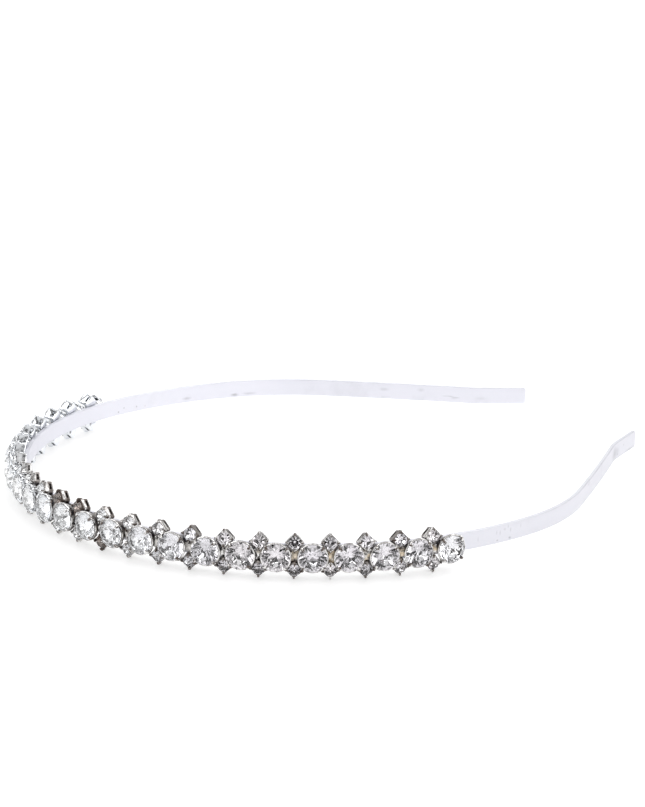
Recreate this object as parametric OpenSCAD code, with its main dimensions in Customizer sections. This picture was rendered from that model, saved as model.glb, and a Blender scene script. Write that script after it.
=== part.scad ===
// Crystal headband: a flat metal strip bent round the head, a row of large round
// stones in pronged cups along its outside, and a pair of small stones in square
// settings at each gap of the row. It lies on its edge, with the crown at -Y and
// the two legs running towards +Y.

/* [Strip] */
// Width of the strip, edge to edge
strip_w = 4.2; // [3.6:0.1:4.6]
// Thickness of the strip
strip_t = 1.0; // [0.8:0.1:1.2]
// Flat taken off each long corner of the strip
strip_edge = 0.25; // [0.1:0.05:0.3]
// Radius of the arc over the crown
crown_r = 66; // [60:1:72]
// Length from the middle of the crown to the end of its arc
crown_len = 90; // [84:1:96]
// Radius of the arc at the side of the head
side_r = 81; // [74:1:96]
// Length of the side arc
side_len = 34; // [30:1:38]
// Radius of the bend above the ear
ear_r = 54; // [48:1:62]
// Length of the bend above the ear
ear_len = 24.5; // [20:0.5:28]
// Radius of the nearly straight leg
leg_r = 680; // [500:20:900]
// Length of the leg
leg_len = 38; // [32:1:44]
// Radius of the small outward bend before the tip
flick_r = 12; // [8:1:20]
// Angle of the small outward bend
flick_deg = 12; // [6:1:20]
// Length of the straight tip
tip_len = 12.5; // [9:0.5:16]
// Radius of the two corners of a tip
tip_corner = 1.2; // [0.6:0.1:1.6]

/* [Row of large stones] */
// Number of large stones, an odd number
large_count = 25; // [21:2:25]
// Distance between two large stones along the strip
pitch = 7.6; // [7.5:0.1:8.2]
// Distance of the middle stone from the middle of the crown
row_shift = 6.9; // [0:0.1:8]
// Diameter of a large stone
large_d = 6.4; // [6:0.1:6.5]
// Height of a large stone's girdle above the middle of the strip
large_girdle = 4.1; // [3.9:0.1:4.4]
// Height of a large stone above its girdle
large_crown_h = 1.0; // [0.8:0.1:1.2]
// Depth of a large stone below its girdle
large_pavilion_h = 2.7; // [2.4:0.1:2.8]

/* [Pairs of small stones] */
// Diameter of a small stone
small_d = 2.9; // [2.6:0.1:3]
// Height of a small stone above its girdle
small_crown_h = 0.5; // [0.4:0.05:0.6]
// Depth of a small stone below its girdle
small_pavilion_h = 1.2; // [1:0.1:1.3]
// Side of a square setting
small_side = 3.05; // [3:0.05:3.2]
// Depth of a square setting
small_depth = 2.3; // [2.1:0.1:2.6]
// Distance of a small stone's middle above or below the middle of the row
small_rise = 3.15; // [3.1:0.05:3.5]
// Angle by which a small stone leans away from the row
small_lean = 12; // [6:1:16]

/* [Hidden] */
$fn = 48;
// Clearance between two pieces that are soldered or set on the real one
seat_gap = 0.1;
// Share of a stone's diameter that its table takes
table_share = 0.55;
// Share of a stone's radius at which the facets of its underside divide
split_share = 0.35;
// Height of a stone's girdle, the narrow rim at its widest
girdle_h = 0.16;
// How far the ledge under a stone reaches in from the stone's edge
ledge = 0.03;
// Clearance between a stone's edge and the metal that holds it
edge_gap = 0.13;

strip_colour = [0.90, 0.90, 0.94];
setting_colour = [0.74, 0.73, 0.72];
stone_colour = [0.86, 0.89, 0.93];

// One row for each bend of one half of the strip, from the crown to the tip
LENGTH = 0;
RADIUS = 1;
BENDS = [
    [crown_len, crown_r],
    [side_len, side_r],
    [ear_len, ear_r],
    [leg_len, leg_r],
    [flick_r * flick_deg * PI / 180, -flick_r]
];
flick = len(BENDS) - 1;

function turn(bend) = bend[LENGTH] / bend[RADIUS] * 180 / PI;

// A place on the strip is [x, y, heading], and this one lies further along a bend
function ahead(place, length, radius) =
    let (
        turned = place[2] + length / radius * 180 / PI,
        middle_x = place.x - radius * sin(place[2]),
        middle_y = place.y + radius * cos(place[2])
    )
    [middle_x + radius * sin(turned), middle_y - radius * cos(turned), turned];

function bend_start(i) = i == 0
    ? [0, 0, 0]
    : ahead(bend_start(i - 1), BENDS[i - 1][LENGTH], BENDS[i - 1][RADIUS]);

function place_at(s, i = 0) = s <= BENDS[i][LENGTH] || i == flick
    ? ahead(bend_start(i), s, BENDS[i][RADIUS])
    : place_at(s - BENDS[i][LENGTH], i + 1);

// The greatest turn between two rings of the strip, and between two at a corner of its tip
strip_step = 3;
corner_step = 15;
tip_place = ahead(bend_start(flick), BENDS[flick][LENGTH], BENDS[flick][RADIUS]);

// Where the stones stand along the strip, from the +X end of the row
middle_stone = (large_count + 1) / 2;
function large_s(k) = row_shift + (middle_stone - k) * pitch;
function pair_s(k) = large_s(k) - pitch / 2;

// The large cup, its heights counted from the middle of the strip
large_r = large_d / 2;
cup_base = strip_t / 2 + seat_gap;
cup_foot_r = 2.1;
cup_foot_h = 0.25;
cup_floor = 0.5;
cup_wall = 0.3;
cup_lip = 0.25;
cup_r = large_r + cup_lip;
cup_rim = large_girdle - girdle_h / 2 - seat_gap;
cup_rim_h = 0.42;
cup_window_r = 0.62;
large_table = large_girdle + girdle_h / 2 + large_crown_h;
prong_w = 0.75;
prong_count = 4;

// A prong's side outline: how far outside the stone's edge, and how far above its girdle
PRONG = [
    [-0.37, -1.86], [-0.13, -1.86], [0.42, -0.56], [0.42, 0.20], [0.05, 0.55],
    [-0.48, 0.72], [-0.54, 0.50], [-0.17, 0.27], [edge_gap, 0.04], [edge_gap, -0.46]
];

// The square setting, its heights counted from its own rim
small_r = small_d / 2;
claw_w = 0.5;
claw_out = 0.67;
claw_shoulder = 0.3;
claw_top = 0.72;
claw_r = small_r + claw_out;
seat_foot_r = 0.3;
small_girdle = seat_gap + girdle_h / 2;
channel_w = 1.5;
channel_h = 0.55;
channel_z = -1.65;

// A claw's side outline: how far outside the stone's edge, and how far above the rim
CLAW = [
    [edge_gap, -0.70], [claw_out, -0.70], [claw_out, claw_shoulder], [0.37, 0.62],
    [-0.18, claw_top], [-0.21, 0.52], [edge_gap, 0.32]
];

// The lean brings the back of a square setting down on the corner of the strip
seat_corner = [strip_t / 2, strip_w / 2 - strip_edge];
small_rim = (small_depth + seat_gap + seat_corner.x * cos(small_lean)
    + (seat_corner.y - small_rise) * sin(small_lean)) / cos(small_lean);

// The lowest claws touch the surface
strip_z = small_rise + claw_r * cos(small_lean) + claw_shoulder * sin(small_lean);

// The origin is the middle of the whole thing's box, seen from above
table_r = large_r * table_share;
function table_reach_x(k) =
    let (place = place_at(abs(large_s(k))))
    place.x + large_table * sin(place[2]) + table_r * abs(cos(place[2]));
function table_reach_y(k) =
    let (place = place_at(abs(large_s(k))))
    place.y - large_table * cos(place[2]) - table_r * abs(sin(place[2]));
near_x = max([for (k = [1:large_count]) if (large_s(k) > 0) table_reach_x(k)]);
far_x = max([for (k = [1:large_count]) if (large_s(k) < 0) table_reach_x(k)]);
low_y = min([for (k = [1:large_count]) table_reach_y(k)]);
high_y = tip_place.y + tip_len * sin(tip_place[2]) + strip_t / 2 * abs(cos(tip_place[2]));
box_middle = [(near_x - far_x) / 2, (low_y + high_y) / 2, 0];

function numbered(name, k) = str(name, k < 10 ? "_0" : "_", k);

// Sets a piece at length s along the strip, its Z pointing out of the head's hollow
module on_strip(s) {
    place = place_at(abs(s));
    side = s < 0 ? -1 : 1;
    translate([side * place.x, place.y, strip_z] - box_middle)
        rotate([0, 0, side * place[2]])
            rotate([90, 0, 0])
                children();
}

// Sets a piece on a small setting's rim, above the row with side 1 and below it with -1
module on_small_rim(k, side) {
    on_strip(pair_s(k))
        translate([0, side * small_rise, small_rim])
            rotate([-side * small_lean, 0, 0])
                children();
}

// The strip's cross-section as [outward, up] points, for half a width of w
function strip_section(w) =
    let (t = strip_t / 2)
    [
        [-t, -w + strip_edge], [-t + strip_edge, -w], [t - strip_edge, -w], [t, -w + strip_edge],
        [t, w - strip_edge], [t - strip_edge, w], [-t + strip_edge, w], [-t, w - strip_edge]
    ];

// The section set square to the strip at a place, on the +X half or mirrored with side -1
function strip_ring(place, w, side) =
    [for (p = strip_section(w))
        [side * (place.x + p.x * sin(place[2])), place.y - p.x * cos(place[2]), p.y]];

// One half's rings as [place, half width], the last ones rounding the tip's two corners
function bend_steps(i) = ceil(abs(turn(BENDS[i])) / strip_step);
function along_tip(length) =
    [tip_place.x + length * cos(tip_place[2]), tip_place.y + length * sin(tip_place[2]), tip_place[2]];
half_rings = concat(
    [for (i = [0:flick]) for (j = [0:bend_steps(i) - 1])
        [ahead(bend_start(i), BENDS[i][LENGTH] * j / bend_steps(i), BENDS[i][RADIUS]), strip_w / 2]],
    [[tip_place, strip_w / 2]],
    [for (a = [0:corner_step:90])
        [along_tip(tip_len - tip_corner * (1 - sin(a))), strip_w / 2 - tip_corner * (1 - cos(a))]]
);

// The strip swept from the -X tip over the crown to the +X tip
module strip() {
    last = len(half_rings) - 1;
    rings = concat(
        [for (i = [last:-1:1]) strip_ring(half_rings[i][0], half_rings[i][1], -1)],
        [for (i = [0:last]) strip_ring(half_rings[i][0], half_rings[i][1], 1)]
    );
    corners = len(rings[0]);
    end = (len(rings) - 1) * corners;
    faces = concat(
        [[for (j = [0:corners - 1]) corners - 1 - j]],
        [for (i = [0:len(rings) - 2]) for (j = [0:corners - 1])
            let (here = i * corners, next = (j + 1) % corners)
            [here + j, here + next, here + corners + next, here + corners + j]],
        [[for (j = [0:corners - 1]) end + j]]
    );
    color(strip_colour)
        translate([0, 0, strip_z] - box_middle)
            polyhedron([for (ring = rings) each ring], faces);
}

// A round brilliant cut, its girdle's middle at Z 0: table, stars, kites, girdle and pavilion
module brilliant(r, crown_h, pavilion_h) {
    sides = 8;
    step = 360 / sides;
    table_z = girdle_h / 2 + crown_h;
    culet_z = -girdle_h / 2 - pavilion_h;
    rt = r * table_share;
    star_r = (rt + r) / 2;
    star_z = table_z - (star_r * cos(step / 2) - rt) * crown_h / (r - rt);
    split_r = r * split_share;
    split_z = culet_z + split_r * cos(step / 2) * pavilion_h / r;
    function ring(radius, z, count, turned) =
        [for (i = [0:count - 1])
            [radius * cos(360 / count * i + turned), radius * sin(360 / count * i + turned), z]];
    table = 0;
    star = table + sides;
    upper = star + sides;
    lower = upper + 2 * sides;
    split = lower + 2 * sides;
    culet = split + sides;
    points = concat(
        ring(rt, table_z, sides, 0),
        ring(star_r, star_z, sides, step / 2),
        ring(r, girdle_h / 2, 2 * sides, 0),
        ring(r, -girdle_h / 2, 2 * sides, 0),
        ring(split_r, split_z, sides, step / 2),
        [[0, 0, culet_z]]
    );
    function next(i) = (i + 1) % sides;
    function before(i) = (i + sides - 1) % sides;
    function girdle(i) = i % (2 * sides);
    faces = concat(
        [[for (i = [sides - 1:-1:0]) table + i]],
        [for (i = [0:sides - 1]) [table + i, table + next(i), star + i]],
        [for (i = [0:sides - 1]) [table + i, star + i, upper + 2 * i, star + before(i)]],
        [for (i = [0:sides - 1]) [star + i, upper + 2 * i + 1, upper + 2 * i]],
        [for (i = [0:sides - 1]) [star + i, upper + girdle(2 * i + 2), upper + 2 * i + 1]],
        [for (i = [0:2 * sides - 1])
            [upper + i, upper + girdle(i + 1), lower + girdle(i + 1), lower + i]],
        [for (i = [0:sides - 1]) [split + i, lower + 2 * i, lower + 2 * i + 1]],
        [for (i = [0:sides - 1]) [split + i, lower + 2 * i + 1, lower + girdle(2 * i + 2)]],
        [for (i = [0:sides - 1]) [culet, split + before(i), lower + 2 * i, split + i]]
    );
    polyhedron(points, faces);
}

// A flat piece of width w, its side outline set out from a stone's edge at radius r
module finger(outline, w, r, z) {
    rotate([90, 0, 0])
        linear_extrude(w, center = true)
            polygon([for (p = outline) [r + p.x, z + p.y]]);
}

// A round cup with four windows low in its wall and four prongs between them
module cup() {
    difference() {
        rotate_extrude()
            polygon([
                [0, cup_base], [cup_foot_r, cup_base], [cup_foot_r, cup_base + cup_foot_h],
                [cup_r, cup_rim - cup_rim_h], [cup_r, cup_rim],
                [large_r - ledge, cup_rim], [cup_r - cup_wall, cup_rim - cup_rim_h],
                [cup_foot_r - cup_wall, cup_base + cup_floor], [0, cup_base + cup_floor]
            ]);
        for (i = [0:prong_count - 1])
            rotate([0, 0, 360 / prong_count * i])
                translate([0, 0, (cup_base + cup_rim) / 2])
                    rotate([0, 90, 0])
                        cylinder(r = cup_window_r, h = 2 * cup_r);
    }
    for (i = [0:prong_count - 1])
        rotate([0, 0, 360 / prong_count * (i + 0.5)])
            finger(PRONG, prong_w, large_r, large_girdle + girdle_h / 2);
}

module large_cup(k) {
    color(setting_colour)
        on_strip(large_s(k))
            cup();
}

module large_stone(k) {
    color(stone_colour)
        on_strip(large_s(k))
            translate([0, 0, large_girdle])
                brilliant(large_r, large_crown_h, large_pavilion_h);
}

// A square setting with its rim at Z 0, two thread channels through its foot and four claws
module square_setting() {
    difference() {
        rotate([0, 0, 45])
            translate([0, 0, -small_depth / 2])
                cube([small_side, small_side, small_depth], center = true);
        rotate_extrude()
            polygon([
                [0, channel_z], [seat_foot_r, channel_z], [small_r - ledge, 0],
                [small_r - ledge, claw_top], [0, claw_top]
            ]);
        for (a = [45, 135])
            rotate([0, 0, a])
                translate([0, 0, channel_z])
                    cube([2 * small_side, channel_w, channel_h], center = true);
    }
    for (a = [0:90:270])
        rotate([0, 0, a])
            finger(CLAW, claw_w, small_r, 0);
}

module small_settings(side) {
    color(setting_colour)
        for (k = [1:large_count - 1])
            on_small_rim(k, side)
                square_setting();
}

module small_stones(side) {
    color(stone_colour)
        for (k = [1:large_count - 1])
            on_small_rim(k, side)
                translate([0, 0, small_girdle])
                    brilliant(small_r, small_crown_h, small_pavilion_h);
}

strip();
for (k = [1:large_count]) {
    large_cup(k);
    large_stone(k);
}
small_settings(1);  // upper_small_settings
small_settings(-1);  // lower_small_settings
small_stones(1);  // upper_small_stones
small_stones(-1);  // lower_small_stones
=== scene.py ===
"""Dresses the crystal headband: a polished strip, cut stones in pronged cups and pairs of small ones."""

import math

import bmesh
import bpy
from bpy.props import FloatProperty, FloatVectorProperty, IntProperty, PointerProperty
from mathutils import Matrix, Vector


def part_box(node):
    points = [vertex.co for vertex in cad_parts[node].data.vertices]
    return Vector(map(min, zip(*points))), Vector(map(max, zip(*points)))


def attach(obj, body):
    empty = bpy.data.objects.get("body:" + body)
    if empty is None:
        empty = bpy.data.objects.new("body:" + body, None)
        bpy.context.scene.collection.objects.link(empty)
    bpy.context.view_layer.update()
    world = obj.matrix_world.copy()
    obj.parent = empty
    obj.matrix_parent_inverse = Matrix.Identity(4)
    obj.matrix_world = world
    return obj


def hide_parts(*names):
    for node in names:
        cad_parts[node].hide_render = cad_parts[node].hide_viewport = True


bl_info = {
    "name": "Crystal headband",
    "version": (1, 0, 0),
    "blender": (4, 5, 0),
    "location": "View3D > Sidebar > Headband",
    "description": "Builds the strip, the settings and the cut stones of a crystal headband",
    "category": "Object",
}

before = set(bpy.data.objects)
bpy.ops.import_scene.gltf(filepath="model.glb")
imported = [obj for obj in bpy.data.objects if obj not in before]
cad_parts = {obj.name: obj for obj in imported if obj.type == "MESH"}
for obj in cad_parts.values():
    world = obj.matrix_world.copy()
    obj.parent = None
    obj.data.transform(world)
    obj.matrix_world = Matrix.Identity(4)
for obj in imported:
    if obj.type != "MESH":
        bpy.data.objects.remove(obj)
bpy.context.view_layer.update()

MM = 0.001
LARGE_CUPS = [name for name in sorted(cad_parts) if name.startswith("large_cup_")]
LARGE_STONES = [name for name in sorted(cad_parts) if name.startswith("large_stone_")]
STRIP_LOW, STRIP_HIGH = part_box("strip")
STRIP_MIDDLE_Z = (STRIP_LOW.z + STRIP_HIGH.z) / 2


# Properties


def length(name, about, millimetres):
    return FloatProperty(name=name, description=about, default=millimetres * MM, precision=5, unit="LENGTH")


def lengths(name, about, millimetres):
    values = [value * MM for value in millimetres]
    look = {"size": len(values), "precision": 5, "unit": "LENGTH"}
    return FloatVectorProperty(name=name, description=about, default=values, **look)


def angle(name, about, degrees):
    return FloatProperty(name=name, description=about, default=math.radians(degrees), subtype="ANGLE")


def amount(name, about, default):
    return FloatProperty(name=name, description=about, default=default, min=0.0)


def integer(name, about, default):
    return IntProperty(name=name, description=about, default=default, min=1)


def colour(name, about, default):
    look = {"subtype": "COLOR", "min": 0.0, "max": 1.0}
    return FloatVectorProperty(name=name, description=about, default=default, **look)


class StripSettings(bpy.types.PropertyGroup):
    """The flat strip that is bent round the head."""

    width: length("Width", "From edge to edge", 4.2)
    thickness: length("Thickness", "Through the strip", 1.0)
    edge_radius: length("Edge radius", "Rounding of the four long corners", 0.22)
    bend_lengths: lengths("Bend lengths", "Of half the crown, side, ear and leg", (90, 34, 24.5, 38))
    bend_radii: lengths("Bend radii", "Of the crown, side, ear and leg", (66, 81, 54, 680))
    flick_radius: length("Flick radius", "Radius of the small outward bend before the tip", 12)
    flick_angle: angle("Flick angle", "Angle of the small outward bend", 12)
    tip_length: length("Tip length", "Length of the straight tip", 12.5)
    tip_corner: length("Tip corner", "Radius of the two corners of a tip", 0.8)


class LargeRowSettings(bpy.types.PropertyGroup):
    """The row of large stones in round cups."""

    count: integer("Count", "Number of large stones", len(LARGE_STONES))
    pitch: length("Pitch", "Distance between two large stones along the strip", 7.6)
    row_shift: length("Row shift", "From the middle of the crown to the middle stone", 6.9)
    diameter: length("Diameter", "Diameter of a large stone", 6.4)
    girdle: length("Girdle", "Height of a girdle above the middle of the strip", 4.1)
    crown_height: length("Crown height", "Height of a stone above its girdle", 1.0)
    pavilion_depth: length("Pavilion depth", "Depth of a stone below its girdle", 2.7)


class SmallPairSettings(bpy.types.PropertyGroup):
    """The pairs of small stones in square settings."""

    diameter: length("Diameter", "Diameter of a small stone", 2.9)
    crown_height: length("Crown height", "Height of a stone above its girdle", 0.5)
    pavilion_depth: length("Pavilion depth", "Depth of a stone below its girdle", 1.2)
    side: length("Side", "Side of a square setting", 3.05)
    depth: length("Depth", "Depth of a square setting", 2.3)
    rise: length("Rise", "From the middle of the row to the middle of a small stone", 3.15)
    lean: angle("Lean", "Angle by which a small stone leans away from the row", 12)


class HandworkSettings(bpy.types.PropertyGroup):
    """How unevenly the pieces are set by hand."""

    slip: length("Slip", "Greatest slide of a setting along the strip", 0.07)
    tilt: angle("Tilt", "Greatest tilt of a setting", 1.0)
    twist: angle("Twist", "Greatest turn of a setting about its own axis", 3.0)
    stone_turn: angle("Stone turn", "Greatest turn of a stone in its setting", 22.5)
    seed: integer("Seed", "Seed of the uneven handwork", 7)


class FinishSettings(bpy.types.PropertyGroup):
    """Colours of the metals and the crystal."""

    # These two strip colours are one satin plating in a darker and a paler copy: the paler one is painted
    # light on the inner face of the far end, and the darker one stands everywhere else.
    strip: colour("Strip", "Satin plating at the strip's end next to the row", (0.71, 0.71, 0.76))
    strip_far_painted_light: colour("Strip, far end", "Satin plating inside the far end", (0.80, 0.80, 0.865))
    plating: colour("Plating", "Plating of the cups and claws", (0.86, 0.85, 0.84))
    # Painted light: the plating past the crown is painted paler and bluer.
    plating_far_painted_light: colour("Plating, far part", "Plating past the crown", (0.87, 0.89, 0.92))
    tin: colour("Tin", "Bare solder between the cups", (0.92, 0.91, 0.90))
    # This film colour serves real tarnish and the painted shade towards the foot of the cups and settings.
    tarnish_and_shade: colour("Tarnish", "Dark film on the corners of the settings", (0.075, 0.052, 0.041))
    solder: colour("Solder", "Beige flux on the solder between the cups", (0.93, 0.78, 0.58))
    crystal: colour("Crystal", "Clear cut crystal", (1.0, 1.0, 1.0))
    foil: colour("Foil", "Mirror foil on the back of a stone", (0.905, 0.885, 0.90))
    # Painted light: the foil past the crown and the foil of the row's near end stone are painted paler.
    foil_far_painted_light: colour("Foil, far part", "Mirror foil past the crown", (0.95, 0.955, 0.965))
    foil_end_painted_light: colour("Foil, end stone", "Mirror foil at the row's near end", (0.93, 0.925, 0.935))
    foil_brown: colour("Foil, brown", "Foil gone brown behind a small stone", (0.36, 0.30, 0.27))


class StudioSettings(bpy.types.PropertyGroup):
    """The pale floor, the soft panels and the camera."""

    floor: colour("Floor", "Pale floor", (0.62, 0.62, 0.62))
    floor_glow: amount("Floor glow", "Light that comes through the pale floor from below", 0.5)
    floor_radius: length("Floor radius", "Radius of the floor", 4000)
    horizon: amount("Horizon", "Brightness of the wall round the floor", 1.1)
    panels: amount("Panels", "Brightness of the soft panels", 2.7)
    top: amount("Ceiling", "Brightness of the pale ceiling", 0.8)
    gap: amount("Gap", "Brightness of the dark gaps between the panels", 0.015)
    behind: amount("Behind", "Brightness of the shaded wall behind the camera", 0.5)
    panel_count: integer("Panel count", "Number of panels round the object", 7)
    distance: length("Distance", "Camera to the middle of its view", 793.1)
    elevation: angle("Elevation", "Height of the camera above the floor, as an angle", 16.01)
    azimuth: angle("Azimuth", "Turn of the camera from the +X side towards the crown", 33.95)
    roll: angle("Roll", "Turn of the camera about its own view", 1.345)
    lens: amount("Lens", "Focal length in millimetres", 137.62)
    aim: lengths("Aim", "Point at the middle of the view", (-42.9, 26.9, 5.3))


class HeadbandSettings(bpy.types.PropertyGroup):
    """All of the headband's settings."""

    strip: PointerProperty(type=StripSettings)
    large: PointerProperty(type=LargeRowSettings)
    small: PointerProperty(type=SmallPairSettings)
    handwork: PointerProperty(type=HandworkSettings)
    finish: PointerProperty(type=FinishSettings)
    studio: PointerProperty(type=StudioSettings)


# Node trees

# Numbers of the sockets that share their name with others
RANDOM_LEAST, RANDOM_MOST, RANDOM_OUT = 2, 3, 1
MIX_FIRST, MIX_SECOND, MIX_OUT = 6, 7, 2
ROW_TREE = "Row along the strip"
SECTION_STEPS = 4


class Wire:
    """A node's output. A sum of wires and numbers adds the nodes that work it out."""

    def __init__(self, socket):
        self.socket = socket
        self.tree = socket.id_data

    def beside(self, name):
        """Another output of the same node."""
        return Wire(self.socket.node.outputs[name])

    def __add__(self, other):
        return maths("ADD", self, other)

    def __sub__(self, other):
        return maths("SUBTRACT", self, other)

    def __rsub__(self, other):
        return maths("SUBTRACT", other, self)

    def __mul__(self, other):
        return maths("MULTIPLY", self, other)

    def __truediv__(self, other):
        return maths("DIVIDE", self, other)

    def __abs__(self):
        return maths("ABSOLUTE", self)

    __radd__ = __add__


def fill(node, inputs):
    """Links or sets a node's inputs, given by name or number."""
    for key, value in inputs.items():
        if isinstance(value, Wire):
            value.tree.links.new(value.socket, node.inputs[key])
        else:
            node.inputs[key].default_value = value


def source(tree, kind, output=0, **settings):
    """Adds a node with its own settings to a tree, and gives one of its outputs."""
    node = tree.nodes.new(kind)
    for key, value in settings.items():
        setattr(node, key, value)
    return Wire(node.outputs[output])


def add(kind, inputs, output=0, **settings):
    """Adds a node to the tree of the wires that lead into it, and gives one of its outputs."""
    tree = next(value.tree for value in inputs.values() if isinstance(value, Wire))
    result = source(tree, kind, output, **settings)
    fill(result.socket.node, inputs)
    return result


def maths(operation, *values, clamp=False):
    return add("ShaderNodeMath", dict(enumerate(values)), operation=operation, use_clamp=clamp)


def vectors(operation, *values):
    output = "Value" if operation in ("LENGTH", "DISTANCE", "DOT_PRODUCT") else "Vector"
    return add("ShaderNodeVectorMath", dict(enumerate(values)), output, operation=operation)


def combined(**parts):
    """A vector from its X, Y and Z."""
    return add("ShaderNodeCombineXYZ", parts)


def greatest(*wires):
    result = wires[0]
    for wire in wires[1:]:
        result = maths("MAXIMUM", result, wire)
    return result


def ramp(value, start, end, to_start=0.0, to_end=1.0):
    """A smooth change from one level to another while a value goes from start to end."""
    inputs = {"Value": value, "From Min": start, "From Max": end, "To Min": to_start, "To Max": to_end}
    return add("ShaderNodeMapRange", inputs, interpolation_type="SMOOTHSTEP")


def new_tree(name, sockets):
    """A geometry tree with named inputs, these inputs as wires, and its output node."""
    tree = bpy.data.node_groups.new(name, "GeometryNodeTree")
    for in_out in ("INPUT", "OUTPUT"):
        tree.interface.new_socket(name="Geometry", in_out=in_out, socket_type="NodeSocketGeometry")
    for kind, labels in sockets.items():
        for label in labels:
            tree.interface.new_socket(name=label, in_out="INPUT", socket_type=f"NodeSocket{kind}")
    given = {socket.name: Wire(socket) for socket in tree.nodes.new("NodeGroupInput").outputs}
    return tree, given, tree.nodes.new("NodeGroupOutput")


def path_curve(path):
    return add("GeometryNodeObjectInfo", {"Object": path}, "Geometry")


def stored(geometry, name, value, domain):
    """Keeps a value under a name on each point or copy."""
    inputs = {"Geometry": geometry, "Name": name, "Value": value}
    return add("GeometryNodeStoreNamedAttribute", inputs, domain=domain)


def realized(geometry):
    return add("GeometryNodeRealizeInstances", {"Geometry": geometry})


def coated(geometry, material, **only):
    inputs = {"Geometry": geometry, "Material": material, **only}
    return add("GeometryNodeSetMaterial", inputs)


def row_tree():
    """Sets copies of one piece along the strip, each a little uneven."""
    tree, given, result = new_tree(ROW_TREE, {
        "Object": ["Path"],
        "Int": ["Count", "Turn seed", "Seed"],
        "Float": ["First", "Pitch", "Height", "Rise", "Lean", "Slip", "Tilt", "Turn"],
        "Material": ["Finish", "Back finish"],
    })
    index = source(tree, "GeometryNodeInputIndex")

    def spread(most, seed, step):
        """A random number for each copy, from minus to plus the most."""
        inputs = {RANDOM_LEAST: -1.0, RANDOM_MOST: 1.0, "ID": index, "Seed": seed + float(step)}
        return add("FunctionNodeRandomValue", inputs, RANDOM_OUT, data_type="FLOAT") * most

    path = path_curve(given["Path"])
    whole = add("GeometryNodeCurveLength", {"Curve": path})
    even = whole * 0.5 + given["First"] - index * given["Pitch"]
    spot = {"Curves": path, "Length": even + spread(given["Slip"], given["Seed"], 0)}
    tangent = add("GeometryNodeSampleCurve", spot, "Tangent", mode="LENGTH")
    outward = vectors("CROSS_PRODUCT", tangent, (0.0, 0.0, 1.0))
    by_height = {"Vector": outward, "Scale": given["Height"]}
    lift = add("ShaderNodeVectorMath", by_height, operation="SCALE")
    lifted = vectors("ADD", tangent.beside("Position"), lift)
    place = vectors("ADD", lifted, combined(Z=given["Rise"]))
    axes = {"Primary Axis": outward, "Secondary Axis": tangent}
    facing = add("FunctionNodeAxesToRotation", axes, primary_axis="Z", secondary_axis="X")
    lean = given["Lean"] + spread(given["Tilt"], given["Seed"], 1)
    leaning = combined(X=lean, Y=spread(given["Tilt"], given["Seed"], 2))
    turning = combined(Z=spread(given["Turn"], given["Turn seed"], 0))
    for euler in (leaning, turning):
        turn = {"Rotation": facing, "Rotate By": add("FunctionNodeEulerToRotation", {"Euler": euler})}
        facing = add("FunctionNodeRotateRotation", turn, rotation_space="LOCAL")
    points = add("GeometryNodePoints", {"Count": given["Count"], "Position": place})
    set_out = {"Points": points, "Instance": given["Geometry"], "Rotation": facing}
    copies = add("GeometryNodeInstanceOnPoints", set_out)
    toned = stored(copies, "tone", spread(1.0, given["Seed"], 3), "INSTANCE")
    placed = stored(toned, "row", index / given["Count"], "INSTANCE")
    back = source(tree, "GeometryNodeInputNamedAttribute", data_type="BOOLEAN")
    fill(back.socket.node, {"Name": "back"})
    front = coated(realized(placed), given["Finish"])
    fill(result, {"Geometry": coated(front, given["Back finish"], Selection=back)})
    return tree


def corner_share(distance, radius, half):
    """The share of its half width that a round corner leaves at a distance from the end."""
    in_corner = maths("SUBTRACT", 1.0, distance / radius, clamp=True)
    arc = maths("SQRT", 1.0 - maths("POWER", in_corner, 2.0))
    return 1.0 - (1.0 - arc) * (radius / half)


def strip_tree():
    """Sweeps the strip's rounded section along its path and rounds both tips."""
    tree, given, result = new_tree("Strip", {
        "Object": ["Path"],
        "Float": ["Width", "Thickness", "Edge radius", "Tip corner"],
        "Material": ["Finish"],
    })
    path = add("GeometryNodeSetCurveNormal", {"Curve": path_curve(given["Path"])}, mode="Z_UP")
    whole = add("GeometryNodeCurveLength", {"Curve": path})
    position = source(tree, "GeometryNodeInputPosition")
    capture = tree.nodes.new("GeometryNodeCaptureAttribute")
    capture.capture_items.new("FLOAT", "Along")
    capture.capture_items.new("VECTOR", "Centre")
    reach = source(tree, "GeometryNodeSplineParameter", "Length")
    fill(capture, {"Geometry": path, "Along": reach, "Centre": position})
    measured, along, centre = [Wire(capture.outputs[name]) for name in ("Geometry", "Along", "Centre")]
    sizes = {"Width": given["Thickness"], "Height": given["Width"]}
    rectangle = add("GeometryNodeCurvePrimitiveQuadrilateral", sizes)
    corners = {"Curve": rectangle, "Count": SECTION_STEPS, "Radius": given["Edge radius"]}
    section = add("GeometryNodeFilletCurve", corners, mode="POLY")
    sweep = {"Curve": measured, "Profile Curve": section, "Fill Caps": True}
    swept = add("GeometryNodeCurveToMesh", sweep)
    from_end = maths("MINIMUM", along, whole - along)
    wide = corner_share(from_end, given["Tip corner"], given["Width"] * 0.5)
    thick = corner_share(from_end, given["Edge radius"], given["Thickness"] * 0.5)
    shares = combined(X=thick, Y=thick, Z=wide)
    offset = vectors("MULTIPLY", vectors("SUBTRACT", position, centre), shares)
    reshaped = {"Geometry": swept, "Position": vectors("ADD", centre, offset)}
    moved = add("GeometryNodeSetPosition", reshaped)
    mesh = realized(stored(moved, "along", along, "POINT"))
    fill(result, {"Geometry": coated(mesh, given["Finish"])})
    return tree


def new_object(name, data):
    thing = bpy.data.objects.new(name, data)
    bpy.context.scene.collection.objects.link(thing)
    return thing


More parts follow.
